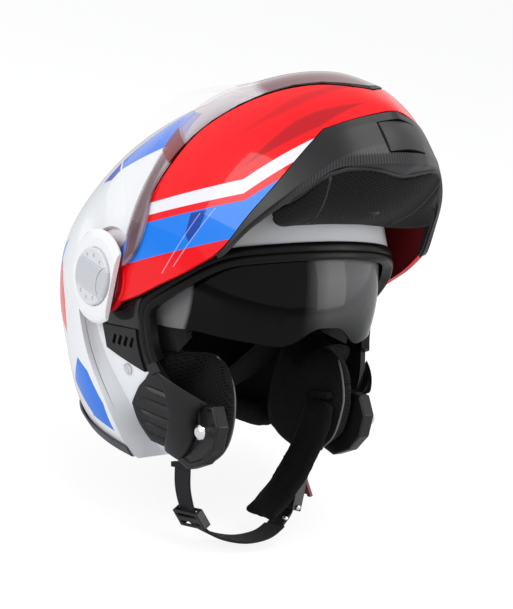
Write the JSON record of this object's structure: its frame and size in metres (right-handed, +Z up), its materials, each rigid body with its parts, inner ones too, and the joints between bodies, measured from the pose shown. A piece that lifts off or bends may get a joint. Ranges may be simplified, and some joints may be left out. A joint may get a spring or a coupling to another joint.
{
  "type": "modular motorcycle helmet",
  "caption": "Flip-up helmet with a hinged chin bar and clear visor, an inner sun visor, side pivots, padded lining and a ratchet chin strap.",
  "frame": {"origin": "middle of the chin bar's hinge line, between the two side pivots, inside the head cavity", "axes": "+X towards the wearer's left, -Y towards the front of the helmet, +Z up with the head level; the X axis is the hinge line"},
  "size_m": [0.256, 0.3035, 0.3587],
  "materials": {
    "shell_paint": "glossy white lacquer over a composite shell",
    "cover_paint": "glossy white lacquer",
    "disc_plastic": "satin pale grey",
    "chin_bar_paint": "glossy red lacquer with printed stripes",
    "arm_hub_paint": "glossy red",
    "chin_rim_plastic": "satin black",
    "rim_trim": "satin dark grey",
    "rubber_trim": "satin rubber",
    "black_plastic": "fine grained black",
    "latch_plastic": "fine grained black",
    "button_plastic": "satin black",
    "foam": "expanded foam beads",
    "lining_cloth": "black mesh cloth",
    "pad_cloth": "black perforated cloth",
    "sleeve_cloth": "black cloth",
    "webbing": "woven webbing",
    "steel": "polished",
    "jaw_metal": "blackened",
    "buckle_metal": "black painted steel",
    "red_lever": "glossy red",
    "tongue_plastic": "moulded teeth",
    "visor_frame": "satin black",
    "sun_hub_plastic": "satin black",
    "clear_visor": "clear, slightly smoked polycarbonate",
    "smoke_visor": "smoke grey polycarbonate"
  },
  "bodies": {
    "helmet": {"outer_shell": "shell_paint", "impact_liner": "foam", "comfort_liner": "lining_cloth", "neck_roll": "lining_cloth", "rim_band": "rim_trim", "eyeport_trim": "rubber_trim", "pivot_hub_right": "steel", "pivot_hub_left": "steel", "pivot_cover_right": "cover_paint", "pivot_cover_left": "cover_paint", "pivot_disc_right": "disc_plastic", "pivot_disc_left": "disc_plastic", "side_plate_right": "black_plastic", "side_plate_left": "black_plastic", "cheek_cover_right": "black_plastic", "cheek_cover_left": "black_plastic", "latch_plate_right": "latch_plastic", "latch_plate_left": "latch_plastic", "latch_pin_right": "steel", "latch_pin_left": "steel", "recess_rivet_right": "steel", "recess_rivet_left": "steel", "cheek_pad_right": "pad_cloth", "cheek_pad_left": "pad_cloth", "sun_post_right": "steel", "sun_post_left": "steel", "slider_track": "latch_plastic", "strap_web": "webbing", "strap_sleeve": "sleeve_cloth", "strap_slider": "latch_plastic", "strap_anchor_right": "webbing", "strap_anchor_left": "webbing", "buckle_body": "buckle_metal", "buckle_rivets": "steel", "buckle_tongue": "tongue_plastic"},
    "chin_bar": {"chin_bar_shell": "chin_bar_paint", "chin_bar_rim": "chin_rim_plastic", "chin_foam": "foam", "chin_liner": "pad_cloth", "arm_hub_right": "arm_hub_paint", "arm_hub_left": "arm_hub_paint", "latch_jaw_right": "jaw_metal", "latch_jaw_left": "jaw_metal", "visor_gasket": "rubber_trim"},
    "visor": {"visor": "clear_visor", "visor_hub_right": "visor_frame", "visor_hub_left": "visor_frame"},
    "sun_visor": {"sun_visor": "smoke_visor", "sun_hub_right": "sun_hub_plastic", "sun_hub_left": "sun_hub_plastic"},
    "sun_slider": {"sun_slider": "button_plastic"},
    "release_button": {"release_button": "button_plastic"},
    "buckle_lever": {"buckle_lever": "red_lever"}
  },
  "joints": [
    {"name": "chin_bar_hinge", "type": "hinge", "parent": "helmet", "child": "chin_bar", "pos_m": [0, 0, 0], "axis": [1, 0, 0], "range_deg": [0, 87]},
    {"name": "visor_hinge", "type": "hinge", "parent": "chin_bar", "child": "visor", "pos_m": [0, 0, 0], "axis": [-1, 0, 0], "range_deg": [0, 40]},
    {"name": "sun_visor_hinge", "type": "hinge", "parent": "helmet", "child": "sun_visor", "pos_m": [0, 0, 0], "axis": [-1, 0, 0], "range_deg": [0, 38]},
    {"name": "sun_slider_slide", "type": "slide", "parent": "helmet", "child": "sun_slider", "axis": [-0.1736, 0.9848, 0], "range_m": [0, 0.014]},
    {"name": "release_button_slide", "type": "slide", "parent": "chin_bar", "child": "release_button", "axis": [0, 0.682, -0.7314], "range_m": [0, 0.004], "stiffness_N_per_m": 600},
    {"name": "buckle_lever_hinge", "type": "hinge", "parent": "helmet", "child": "buckle_lever", "pos_m": [0.03848, -0.0803, -0.1329], "axis": [0, -0.9397, 0.342], "range_deg": [0, 25], "stiffness_Nm_per_rad": 0.05}
  ],
  "couplings": [
    {"joint": "sun_slider_slide", "follows": "sun_visor_hinge", "m_per_rad": 0.0211}
  ]
}
